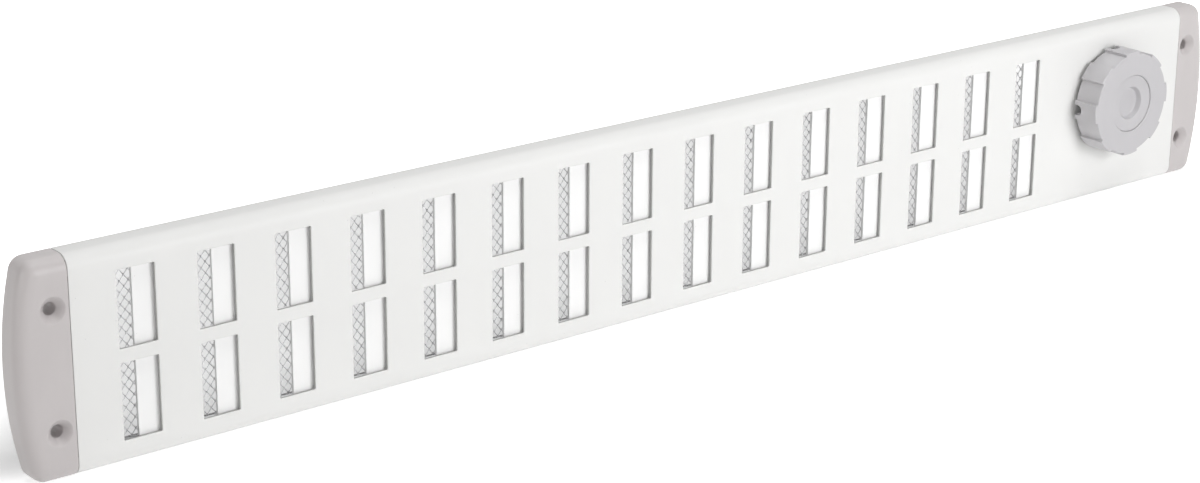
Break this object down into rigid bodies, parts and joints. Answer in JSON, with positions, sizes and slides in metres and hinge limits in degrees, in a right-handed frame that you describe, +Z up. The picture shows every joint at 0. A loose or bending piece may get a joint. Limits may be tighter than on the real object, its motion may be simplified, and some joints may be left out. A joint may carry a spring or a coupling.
{
  "type": "sliding vent grille",
  "caption": "Long wall ventilator grille: slotted aluminium profile with grey end caps, insect mesh, and a slotted shutter that a round knob slides open and closed.",
  "frame": {"origin": "centre of the four wall-screw holes, on the wall plane", "axes": "+X along the profile to the knob's end, +Y into the wall, +Z up, so the face looks to -Y"},
  "size_m": [0.579, 0.0247, 0.076],
  "materials": {
    "coated_aluminium": "satin white powder coat",
    "grey_plastic": "fine satin moulded plastic",
    "knob_plastic": "satin moulded plastic",
    "mesh_strand": "light grey moulded netting",
    "bead_vinyl": "grey vinyl",
    "shutter_white": "white powder coat",
    "natural_nylon": "natural nylon",
    "gear_plastic": "dark moulded acetal",
    "bridge_plastic": "grey moulded plastic",
    "plated_steel": "zinc plated"
  },
  "bodies": {
    "frame": {"face_profile": "coated_aluminium", "left_end_cap": "grey_plastic", "right_end_cap": "grey_plastic", "insect_mesh": "mesh_strand", "mesh_bead_top": "bead_vinyl", "mesh_bead_bottom": "bead_vinyl", "shaft_bush": "natural_nylon", "friction_washer": "plated_steel", "thrust_washer": "natural_nylon", "pinion_bridge": "bridge_plastic"},
    "knob": {"knob_body": "knob_plastic", "knob_disc": "knob_plastic", "knob_screw": "plated_steel", "screw_washer": "plated_steel", "drive_pinion": "gear_plastic", "journal_clip": "plated_steel"},
    "shutter": {"shutter_plate": "shutter_white", "glides_top": "natural_nylon", "glides_bottom": "natural_nylon", "shutter_rack": "gear_plastic", "rack_rivets": "plated_steel"}
  },
  "joints": [
    {"name": "knob_turn", "type": "hinge", "parent": "frame", "child": "knob", "pos_m": [0.225, -0.011, 0.0063], "axis": [0, -1, 0], "range_deg": [-71.7, 71.7]},
    {"name": "shutter_slide", "type": "slide", "parent": "frame", "child": "shutter", "axis": [1, 0, 0], "range_m": [-0.0075, 0.0075]}
  ],
  "couplings": [
    {"joint": "knob_turn", "follows": "shutter_slide", "rad_per_m": 166.67}
  ]
}
